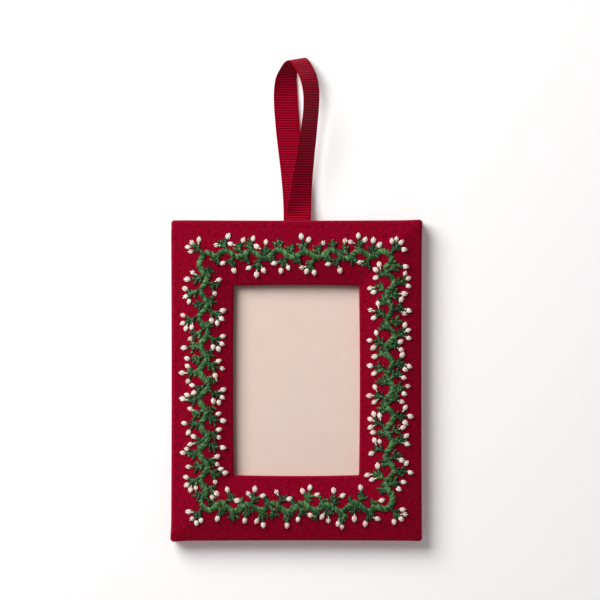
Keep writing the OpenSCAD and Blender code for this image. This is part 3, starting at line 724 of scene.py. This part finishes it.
def threadMesh(name, rings, sides):
    # One thread laid over the stitching: an arch along y from -1 to 1, on its own ground
    look = threadShape
    verts = []
    for i in range(rings):
        y = -1 + 2 * i / (rings - 1)
        arch = sqrt(max(0, 1 - (look["reach"] * y) ** 2))
        thick = look["half"] * (look["tipShare"] + (1 - look["tipShare"]) * (1 - y * y))
        for j in range(sides):
            a = 2 * pi * j / sides + pi / sides
            verts.append((thick * cos(a), y, arch - look["sink"] + look["flat"] * thick * sin(a)))
    return makeMesh(name, verts, rodFaces(rings, sides))


def satinTree():
    # Threads laid side by side across each path, reaching its halfWidth to either side
    tree = bpy.data.node_groups.new("satin_stitch", "GeometryNodeTree")
    sockets = {}
    for kind, names in (
        ("Geometry", ("Paths",)), ("Object", ("Thread",)), ("Int", ("Seed",)), ("Material", ("Material",)),
        ("Float", ("Spacing", "Thread Width", "Height Share", "Slant", "Slant Scatter", "Tone Scatter")),
    ):
        for name in names:
            socket = tree.interface.new_socket(name, in_out="INPUT", socket_type="NodeSocket" + kind)
            sockets[name] = socket.identifier
    tree.interface.new_socket("Stitches", in_out="OUTPUT", socket_type="NodeSocketGeometry")
    given = addNode(tree, "NodeGroupInput").outputs

    def carried(name):
        settings = {"data_type": "FLOAT", "Name": name}
        return addNode(tree, "GeometryNodeInputNamedAttribute", settings).outputs["Attribute"]

    curve = addNode(tree, "GeometryNodeMeshToCurve", links={"Mesh": given["Paths"]})
    spacing = {"Curve": curve.outputs[0], "Length": given["Spacing"]}
    points = addNode(tree, "GeometryNodeCurveToPoints", {"mode": "LENGTH"}, spacing)
    halfWidth, tone = carried("halfWidth"), carried("tone")
    lowTone = mathNode(tree, "MULTIPLY", given["Tone Scatter"], -1.0)
    toneRange = {2: lowTone, 3: given["Tone Scatter"], "Seed": given["Seed"]}
    toneShift = addNode(tree, "FunctionNodeRandomValue", {"data_type": "FLOAT"}, toneRange).outputs[1]
    toned = {"Geometry": points.outputs["Points"], "Value": mathNode(tree, "ADD", tone, toneShift)}
    storing = {"data_type": "FLOAT", "domain": "POINT", "Name": "tone"}
    stored = addNode(tree, "GeometryNodeStoreNamedAttribute", storing, toned)
    outwards = {"primary_axis": "Z", "secondary_axis": "X", 0: (0, -1, 0)}
    facing = addNode(tree, "FunctionNodeAxesToRotation", outwards, {1: points.outputs["Tangent"]})
    slantRange = {
        socket: mathNode(tree, operation, given["Slant"], given["Slant Scatter"])
        for socket, operation in ((2, "SUBTRACT"), (3, "ADD"))
    }
    slant = addNode(tree, "FunctionNodeRandomValue", {"data_type": "FLOAT", "Seed": 7}, slantRange)
    angles = addNode(tree, "ShaderNodeCombineXYZ", links={2: slant.outputs[1]})
    spin = addNode(tree, "FunctionNodeEulerToRotation", links={0: angles.outputs[0]})
    both = {0: facing.outputs[0], 1: spin.outputs[0]}
    turned = addNode(tree, "FunctionNodeRotateRotation", {"rotation_space": "LOCAL"}, both)
    tall = mathNode(tree, "MULTIPLY", halfWidth, given["Height Share"])
    scale = addNode(tree, "ShaderNodeCombineXYZ", links={0: given["Thread Width"], 1: halfWidth, 2: tall})
    thread = addNode(tree, "GeometryNodeObjectInfo", links={"Object": given["Thread"]})
    placed = addNode(tree, "GeometryNodeInstanceOnPoints", links={
        "Points": stored.outputs[0], "Instance": thread.outputs["Geometry"],
        "Rotation": turned.outputs[0], "Scale": scale.outputs[0],
    })
    real = addNode(tree, "GeometryNodeRealizeInstances", links={0: placed.outputs[0]})
    dressing = {"Geometry": real.outputs[0], "Material": given["Material"]}
    dressed = addNode(tree, "GeometryNodeSetMaterial", links=dressing)
    addNode(tree, "NodeGroupOutput", links={0: dressed.outputs[0]})
    return tree, sockets


stitchTree, stitchSockets = satinTree()
wideThread = threadMesh("wide_thread", 9, 5)
shortThread = threadMesh("short_thread", 5, 4)


def stitch(name, paths, thread, settings, material, node):
    # paths: lists of (x, y, half width, tone, lift off the cloth), in mm
    verts, edges, widths, tones = [], [], [], []
    for path in paths:
        start = len(verts)
        for x, y, half, tone, lift in path:
            verts.append(hung(x, y, clothHeight(x, y) + lift))
            # slanted threads are longer than the row is wide
            widths.append(half * mm / cos(settings["Slant"]))
            tones.append(tone)
        edges += [(start + i, start + i + 1) for i in range(len(path) - 1)]
    mesh = bpy.data.meshes.new(name)
    mesh.from_pydata(verts, edges, [])
    for label, values in (("halfWidth", widths), ("tone", tones)):
        mesh.attributes.new(label, "FLOAT", "POINT").data.foreach_set("value", values)
    piece = addObject(name, mesh)
    modifier = piece.modifiers.new("satin", "NODES")
    modifier.node_group = stitchTree
    for label, value in dict(settings, Thread=thread, Material=material).items():
        modifier[stitchSockets[label]] = value
    shown = piece.evaluated_get(bpy.context.evaluated_depsgraph_get())
    final = bpy.data.meshes.new_from_object(shown)
    piece.modifiers.remove(modifier)
    piece.data = final
    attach(piece, "root")
    if node:
        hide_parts(node)
    print(name, len(final.polygons), "faces")


stemStitch = {
    "Spacing": 0.6 * mm, "Thread Width": 0.58 * mm, "Height Share": 0.6, "Slant": radians(30),
    "Slant Scatter": radians(5), "Tone Scatter": 0.3, "Seed": 3,
}
stemSize = dict(
    halfWidth=1.15, swellAndWane=0.18, swellPace=0.13, stepsPerWave=16,
    tone=0.57, toneDrift=0.18, tonePace=0.05,
)


def stemPath():
    look = stemSize
    n = look["stepsPerWave"] * waves
    path = []
    for i in range(n + 1):
        x, y, a = vine(i % n * vineLength / n)
        fuller = noise.noise(Vector((i * look["swellPace"], 0.5, 0)))
        lighter = noise.noise(Vector((i * look["tonePace"], 4, 0)))
        half = look["halfWidth"] * (1 + look["swellAndWane"] * fuller)
        path.append((x, y, half, look["tone"] + look["toneDrift"] * lighter, 0))
    return path


twigStitch = {
    "Spacing": 0.7 * mm, "Thread Width": 0.82 * mm, "Height Share": 1.0, "Slant": radians(36),
    "Slant Scatter": radians(7), "Tone Scatter": 0.38, "Seed": 11,
}
twigSize = dict(half=0.64, tip=0.54, rootLift=0.15, room=0.4, step=0.6, tone=0.32, toneScatter=0.16)
needleSize = dict(
    counts=(2, 0),      # on a sprig's main twig, and on a side twig
    start=0.3, spread=0.5, shift=0.08, turn=44, turnScatter=10, length=2.2, lengthScatter=0.25,
    half=0.58, tip=0.5, lift=0.05, room=0.3, toneScatter=0.1,
)


def twigPath(root, angle, length, half, tip, tone, lift):
    steps = max(2, round(length / twigSize["step"]))
    path = []
    for i in range(steps + 1):
        t = i / steps
        x, y = stepTo(root, angle, length * t)
        path.append((x, y, mix(half, tip, t ** 1.5), tone, lift * (1 - t)))
    return path


def needlePaths(k, i, root, angle, length, tone, count):
    # Short stitches that lean off the twig to either side
    look = needleSize
    paths = []
    for m in range(count):
        place = look["start"] + look["spread"] * (m + 0.5) / count
        place += look["shift"] * vary(k * 7 + i * 3 + m, 4)
        side = (1 if (m + i) % 2 else -1) * (1 if k % 2 else -1)
        way = angle + side * (look["turn"] + look["turnScatter"] * vary(k + m, 6))
        size = look["length"] * (1 + look["lengthScatter"] * vary(k * 5 + m, 8))
        base = stepTo(root, angle, length * place)
        if onFace(stepTo(base, way, size), look["room"]):
            ownTone = tone + look["toneScatter"] * vary(k + i + m, 2)
            paths.append(twigPath(base, way, size, look["half"], look["tip"], ownTone, look["lift"]))
    return paths


sprigPaths = {"upper": [], "lower": []}
budTips = []
for k in range(sprigCount):
    tone = twigSize["tone"] + twigSize["toneScatter"] * vary(k, 9)
    for i, (root, angle, length, budded, order) in enumerate(sprigTwigs(k)):
        tip = stepTo(root, angle, length)
        if not onFace(tip, twigSize["room"]):
            continue
        where = sprigPaths["upper" if root[1] > 0 else "lower"]
        lift = twigSize["rootLift"] * (1 - order)
        where.append(twigPath(root, angle, length, twigSize["half"], twigSize["tip"], tone, lift))
        if budded:
            budTips.append(tip)
        where += needlePaths(k, i, root, angle, length, tone, needleSize["counts"][order])


def looseParts(nodeName):
    # The points of each separate solid of a node, in mm
    parts = []
    for piece in cadPieces(nodeName):
        spots = [tuple(round(c / mm, 3) for c in v.co) for v in piece.data.vertices]
        owner = {spot: spot for spot in spots}

        def root(spot):
            while owner[spot] != spot:
                owner[spot] = owner[owner[spot]]
                spot = owner[spot]
            return spot

        for edge in piece.data.edges:
            owner[root(spots[edge.vertices[0]])] = root(spots[edge.vertices[1]])
        groups = {}
        for spot in owner:
            groups.setdefault(root(spot), []).append(Vector(spot))
        parts += groups.values()
    return parts


budStitch = {
    "Spacing": 0.38 * mm, "Thread Width": 0.5 * mm, "Height Share": 0.68, "Slant": radians(0),
    "Slant Scatter": radians(4), "Tone Scatter": 0.32, "Seed": 5,
}
budSize = dict(
    longer=1.26, wider=1.22, edge=0.28, steps=6, narrowing=0.8, lift=0.12, tone=0.62, toneScatter=0.3,
    stalkShare=0.42, stalkHalf=0.75, stalkOut=0.1, stalkLift=0.16, stalkStep=0.05,
)


def budPathsOf(n, part):
    # A bud lies where the part has its dome, which gives its middle, its way and its size
    look = budSize
    xs, ys = [v.x for v in part], [v.z - hanging["middleUp"] for v in part]
    cx, cy = (min(xs) + max(xs)) / 2, (min(ys) + max(ys)) / 2
    sxx = sum((x - cx) ** 2 for x in xs)
    syy = sum((y - cy) ** 2 for y in ys)
    sxy = sum((x - cx) * (y - cy) for x, y in zip(xs, ys))
    angle = degrees(0.5 * atan2(2 * sxy, sxx - syy))
    along, across = stepTo((0, 0), angle, 1), stepTo((0, 0), angle + 90, 1)
    half, halfW = (
        share * max(abs((x - cx) * way[0] + (y - cy) * way[1]) for x, y in zip(xs, ys))
        for share, way in ((look["longer"], along), (look["wider"], across))
    )
    tone = look["tone"] + look["toneScatter"] * vary(n, 3)
    path = []
    for i in range(look["steps"] + 1):
        u = 2 * i / look["steps"] - 1
        x, y = stepTo((cx, cy), angle + 90, (halfW - look["edge"]) * u)
        path.append((x, y, half * sqrt(1 - (u * look["narrowing"]) ** 2), tone, look["lift"]))
    if vary(n, 5) >= 2 * look["stalkShare"] - 1:
        return [path]
    # one thread runs on down to the nearest twig
    tip = min(budTips, key=lambda t: (t[0] - cx) ** 2 + (t[1] - cy) ** 2)
    down = 1 if (tip[0] - cx) * along[0] + (tip[1] - cy) * along[1] > 0 else -1
    start = stepTo((cx, cy), angle, down * (half + look["stalkOut"]))
    end = stepTo(start, angle + 90, look["stalkStep"])
    return [path, [(*at, look["stalkHalf"], tone, look["stalkLift"]) for at in (start, end)]]


budPaths = []
for n, part in enumerate(looseParts("bud_stitching")):
    budPaths += budPathsOf(n, part)
print(len(budPaths), "bud paths")

stitch("stem_stitches", [stemPath()], wideThread, stemStitch, greenThread, "vine_stitching")
for part, paths in sprigPaths.items():
    stitch("twig_stitches_" + part, paths, shortThread, twigStitch, greenThread, None)
stitch("bud_stitches", budPaths, wideThread, budStitch, creamThread, "bud_stitching")
for spare in (wideThread, shortThread):
    bpy.data.objects.remove(spare)
print("stitching made")


ribbonSize = dict(
    width=9.5, thickness=0.4, ribPitch=1.0, ribHeight=0.07, selvedge=0.8, stepsPerRib=8, fineSteps=24,
    topLean=0.15, leanFrom=50, drawnHeight=62.8,
    halfSection=(0.3, 0.6, 0.81, 0.84, 0.9, 0.97, 1),     # shares of the half width
    selvedgeBody=0.35, selvedgeRib=0.3, edgeThin=0.35,    # its ribs are lower and its edge thin
)
# Middle line as in the part: across, height above the frame, out, turn
loopRoute = (
    (0.8, -12, 0.3, 0), (0.8, -8, 0.3, 0), (0.8, -4, 0.3, 0), (0.8, 0.4, 0.3, 0),
    (0.9, 3, 0.42, 0), (1.1, 5.6, 0.8, 14), (1.45, 9, 1.3, 25), (1.9, 13.5, 1.9, 31),
    (2.45, 18, 2.5, 36), (3.05, 22.5, 3.1, 40), (3.7, 27.5, 3.8, 44), (4.4, 32.5, 4.5, 47),
    (5.05, 37.5, 5.1, 50), (5.55, 42.5, 5.6, 51), (5.75, 47.5, 5.8, 50), (5.45, 52, 5.5, 47),
    (4.5, 56, 4.7, 45), (2.9, 59.4, 3.2, 44), (1.4, 61.9, 1.9, 45), (0, 62.8, 0.8, 45),
    (-1.4, 61.9, 0.25, 44), (-2.8, 59.4, -0.1, 40), (-3.9, 56, -0.7, 31), (-4.2, 52, -1.2, 21),
    (-4.2, 48, -1.6, 14), (-4, 44, -1.75, 10), (-3.65, 39.5, -1.75, 10), (-3.2, 34.5, -1.65, 9),
    (-2.6, 29.5, -1.5, 8), (-2, 24.5, -1.35, 7), (-1.4, 19.5, -1.1, 6), (-0.9, 14.5, -0.85, 4),
    (-0.5, 9.5, -0.6, 3), (-0.3, 4.8, -0.4, 0), (-0.25, 0.4, -0.3, 0), (-0.25, -4, -0.3, 0),
    (-0.25, -8, -0.3, 0), (-0.25, -12, -0.3, 0),
)


def smoothPoint(a, b, c, d, t):
    return [
        (2 * q + (r - p) * t + (2 * p - 5 * q + 4 * r - s) * t * t + (3 * q - p - 3 * r + s) * t ** 3) / 2
        for p, q, r, s in zip(a, b, c, d)
    ]


def fineRoute():
    last, steps = len(loopRoute) - 1, ribbonSize["fineSteps"]
    fine = []
    for i in range(last):
        near = [loopRoute[min(max(j, 0), last)] for j in (i - 1, i, i + 1, i + 2)]
        fine += [smoothPoint(*near, s / steps) for s in range(steps)]
    fine.append(list(loopRoute[last]))
    lengths = [0]
    for p, q in zip(fine, fine[1:]):
        lengths.append(lengths[-1] + sqrt(sum((a - b) ** 2 for a, b in zip(p[:3], q[:3]))))
    return fine, lengths


def buildRibbon():
    look = ribbonSize
    fine, lengths = fineRoute()
    total = lengths[-1]
    count = round(total / look["ribPitch"] * look["stepsPerRib"])
    across = [-u for u in reversed(look["halfSection"])] + [0] + list(look["halfSection"])
    section = [(u, 1) for u in across] + [(u, -1) for u in reversed(across)]
    body = 1 - 2 * look["selvedge"] / look["width"]
    verts, uvs, ribs = [], [], []
    at = 0
    for i in range(count + 1):
        d = total * i / count
        while at < len(lengths) - 2 and lengths[at + 1] < d:
            at += 1
        t = (d - lengths[at]) / max(1e-9, lengths[at + 1] - lengths[at])
        p = [mix(a, b, t) for a, b in zip(fine[at], fine[at + 1])]
        before, after = fine[max(at - 1, 0)], fine[min(at + 2, len(fine) - 1)]
        along = (Vector(after[:3]) - Vector(before[:3])).normalized()
        lean = look["topLean"] * max(0, (p[1] - look["leanFrom"]) / (look["drawnHeight"] - look["leanFrom"]))
        side = Vector((cos(radians(p[3])), lean, -sin(radians(p[3])))).normalized()
        through = along.cross(side).normalized()
        rib = 0.5 + 0.5 * cos(2 * pi * d / look["ribPitch"])
        for u, face in section:
            raised = rib if abs(u) <= body else look["selvedgeBody"] + look["selvedgeRib"] * rib
            half = look["thickness"] / 2 - look["ribHeight"] * (1 - raised)
            if abs(u) == 1:
                half *= look["edgeThin"]
            q = Vector(p[:3]) + side * (u * look["width"] / 2) + through * (face * half)
            verts.append(hung(q.x, frameTop + q.y, q.z))
            uvs.append((u * look["width"] * 0.05, d * 0.1))       # in cm
            ribs.append(raised)
    piece = makeMesh("ribbon_band", verts, rodFaces(count + 1, len(section)), uvs)
    piece.data.attributes.new("rib", "FLOAT", "POINT").data.foreach_set("value", ribs)
    piece.data.materials.append(grosgrain)
    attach(piece, "root")
    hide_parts("ribbon")
    print("ribbon length", round(total, 1), "mm")


buildRibbon()
print("ribbon made")


for nodeName, material in (
    ("front_board", greyboard), ("back_board", greyboard), ("channel_spacer", greyboard),
    ("photo_card", blushCard), ("clear_sheet", clearFilm),
):
    for piece in cadPieces(nodeName):
        piece.data.materials.clear()
        piece.data.materials.append(material)
print("finishes set")


backdrop = dict(
    behind=4.5, top=700, floor=-900, cove=60, coveSteps=12, reach=320, halfWidth=800, opening=0.6,
    colour="#fbfbfb", roughness=0.95, backLight=0.12, backLightColour=(1, 0.87, 0.87, 1),
)


def makePaper(name):
    # Matt white paper that glows a little, as if lit from behind: painted light that lightens the shadows
    # cast on it, tinted pink to stand in for light bounced off the red cloth; it is clear when seen from its
    # back
    look = backdrop
    material, tree, shader = newMaterial(name)
    output = next(n for n in tree.nodes if n.type == "OUTPUT_MATERIAL")
    dress(tree, shader, {}, {
        "Base Color": linear(look["colour"]), "Roughness": look["roughness"], "Specular IOR Level": 0.0,
        # painted light: the paper's own glow, tinted pink like light bounced off the cloth
        "Emission Color": look["backLightColour"], "Emission Strength": look["backLight"],
    })
    clear = addNode(tree, "ShaderNodeBsdfTransparent")
    facing = addNode(tree, "ShaderNodeNewGeometry")
    sides = {0: facing.outputs["Backfacing"], 1: shader.outputs[0], 2: clear.outputs[0]}
    oneSided = addNode(tree, "ShaderNodeMixShader", links=sides)
    tree.links.new(oneSided.outputs[0], output.inputs["Surface"])
    return material


def buildBackdrop():
    look = backdrop
    # open where the frame hides it, so that light also reaches the frame's back
    openW, openH = (frameSize[side] / 2 - look["opening"] for side in ("width", "height"))
    across = (-look["halfWidth"], -openW, openW, look["halfWidth"])
    middle = hanging["middleUp"]
    heights = (look["top"], middle + openH, middle - openH, look["floor"] + look["cove"])
    profile = [(look["behind"], z) for z in heights]
    for i in range(1, look["coveSteps"] + 1):
        a = pi / 2 * i / look["coveSteps"]
        y, z = look["cove"] * (1 - cos(a)), look["cove"] * (1 - sin(a))
        profile.append((look["behind"] - y, look["floor"] + z))
    profile.append((look["behind"] - look["reach"], look["floor"]))
    verts = [Vector((x, y, z)) * mm for y, z in profile for x in across]
    faces = [
        (4 * i + j, 4 * i + j + 4, 4 * i + j + 5, 4 * i + j + 1)
        for i in range(len(profile) - 1) for j in range(3) if (i, j) != (1, 1)
    ]
    piece = makeMesh("pale_backdrop", verts, faces)
    piece.data.materials.append(makePaper("matt_white_paper"))


buildBackdrop()

lighting = dict(
    key=dict(fromLeft=0.7, fromAbove=0.71, tilt=49, distance=1.0, size=0.78, power=13.0),
    back=dict(fromLeft=0.3, fromAbove=0.6, tilt=145, distance=1.0, size=0.8, power=8.0),
    worldStrength=0.165, worldColour=(1, 0.99, 0.98, 1), target=(0, 0, -0.124),
)


def buildLamp(name, look):
    light = bpy.data.lights.new(name, "AREA")
    light.shape = "DISK"
    light.size = look["size"]
    light.energy = look["power"]
    lamp = addObject(name, light)
    tilt = radians(look["tilt"])
    way = Vector((-look["fromLeft"] * sin(tilt), -cos(tilt), look["fromAbove"] * sin(tilt))).normalized()
    lamp.location = Vector(lighting["target"]) + way * look["distance"]
    lamp.rotation_euler = way.to_track_quat("Z", "Y").to_euler()


buildLamp("soft_key", lighting["key"])
buildLamp("soft_back", lighting["back"])
world = bpy.data.worlds.new("pale_room")
world.use_nodes = True
world.node_tree.nodes["Background"].inputs[0].default_value = lighting["worldColour"]
world.node_tree.nodes["Background"].inputs[1].default_value = lighting["worldStrength"]
bpy.context.scene.world = world

viewing = dict(
    distance=2000, standOff=2, pixel=0.3864, imageWidth=600, middlePixel=(296.5, 380.5),
    sensor=36, clipEnd=20,
)


def buildCamera():
    look = viewing
    camera = bpy.data.cameras.new("photo_camera")
    camera.sensor_width = look["sensor"]
    camera.lens = look["sensor"] * look["distance"] / (look["pixel"] * look["imageWidth"])
    camera.clip_end = look["clipEnd"]
    holder = addObject("photo_camera", camera)
    across = (look["imageWidth"] / 2 - look["middlePixel"][0]) * look["pixel"]
    up = hanging["middleUp"] + (look["middlePixel"][1] - look["imageWidth"] / 2) * look["pixel"]
    holder.location = Vector((across, -look["distance"] - look["standOff"], up)) * mm
    holder.rotation_euler = (pi / 2, 0, 0)
    bpy.context.scene.camera = holder


buildCamera()
bpy.context.scene.view_settings.view_transform = "Standard"
print("backdrop, light and camera set")
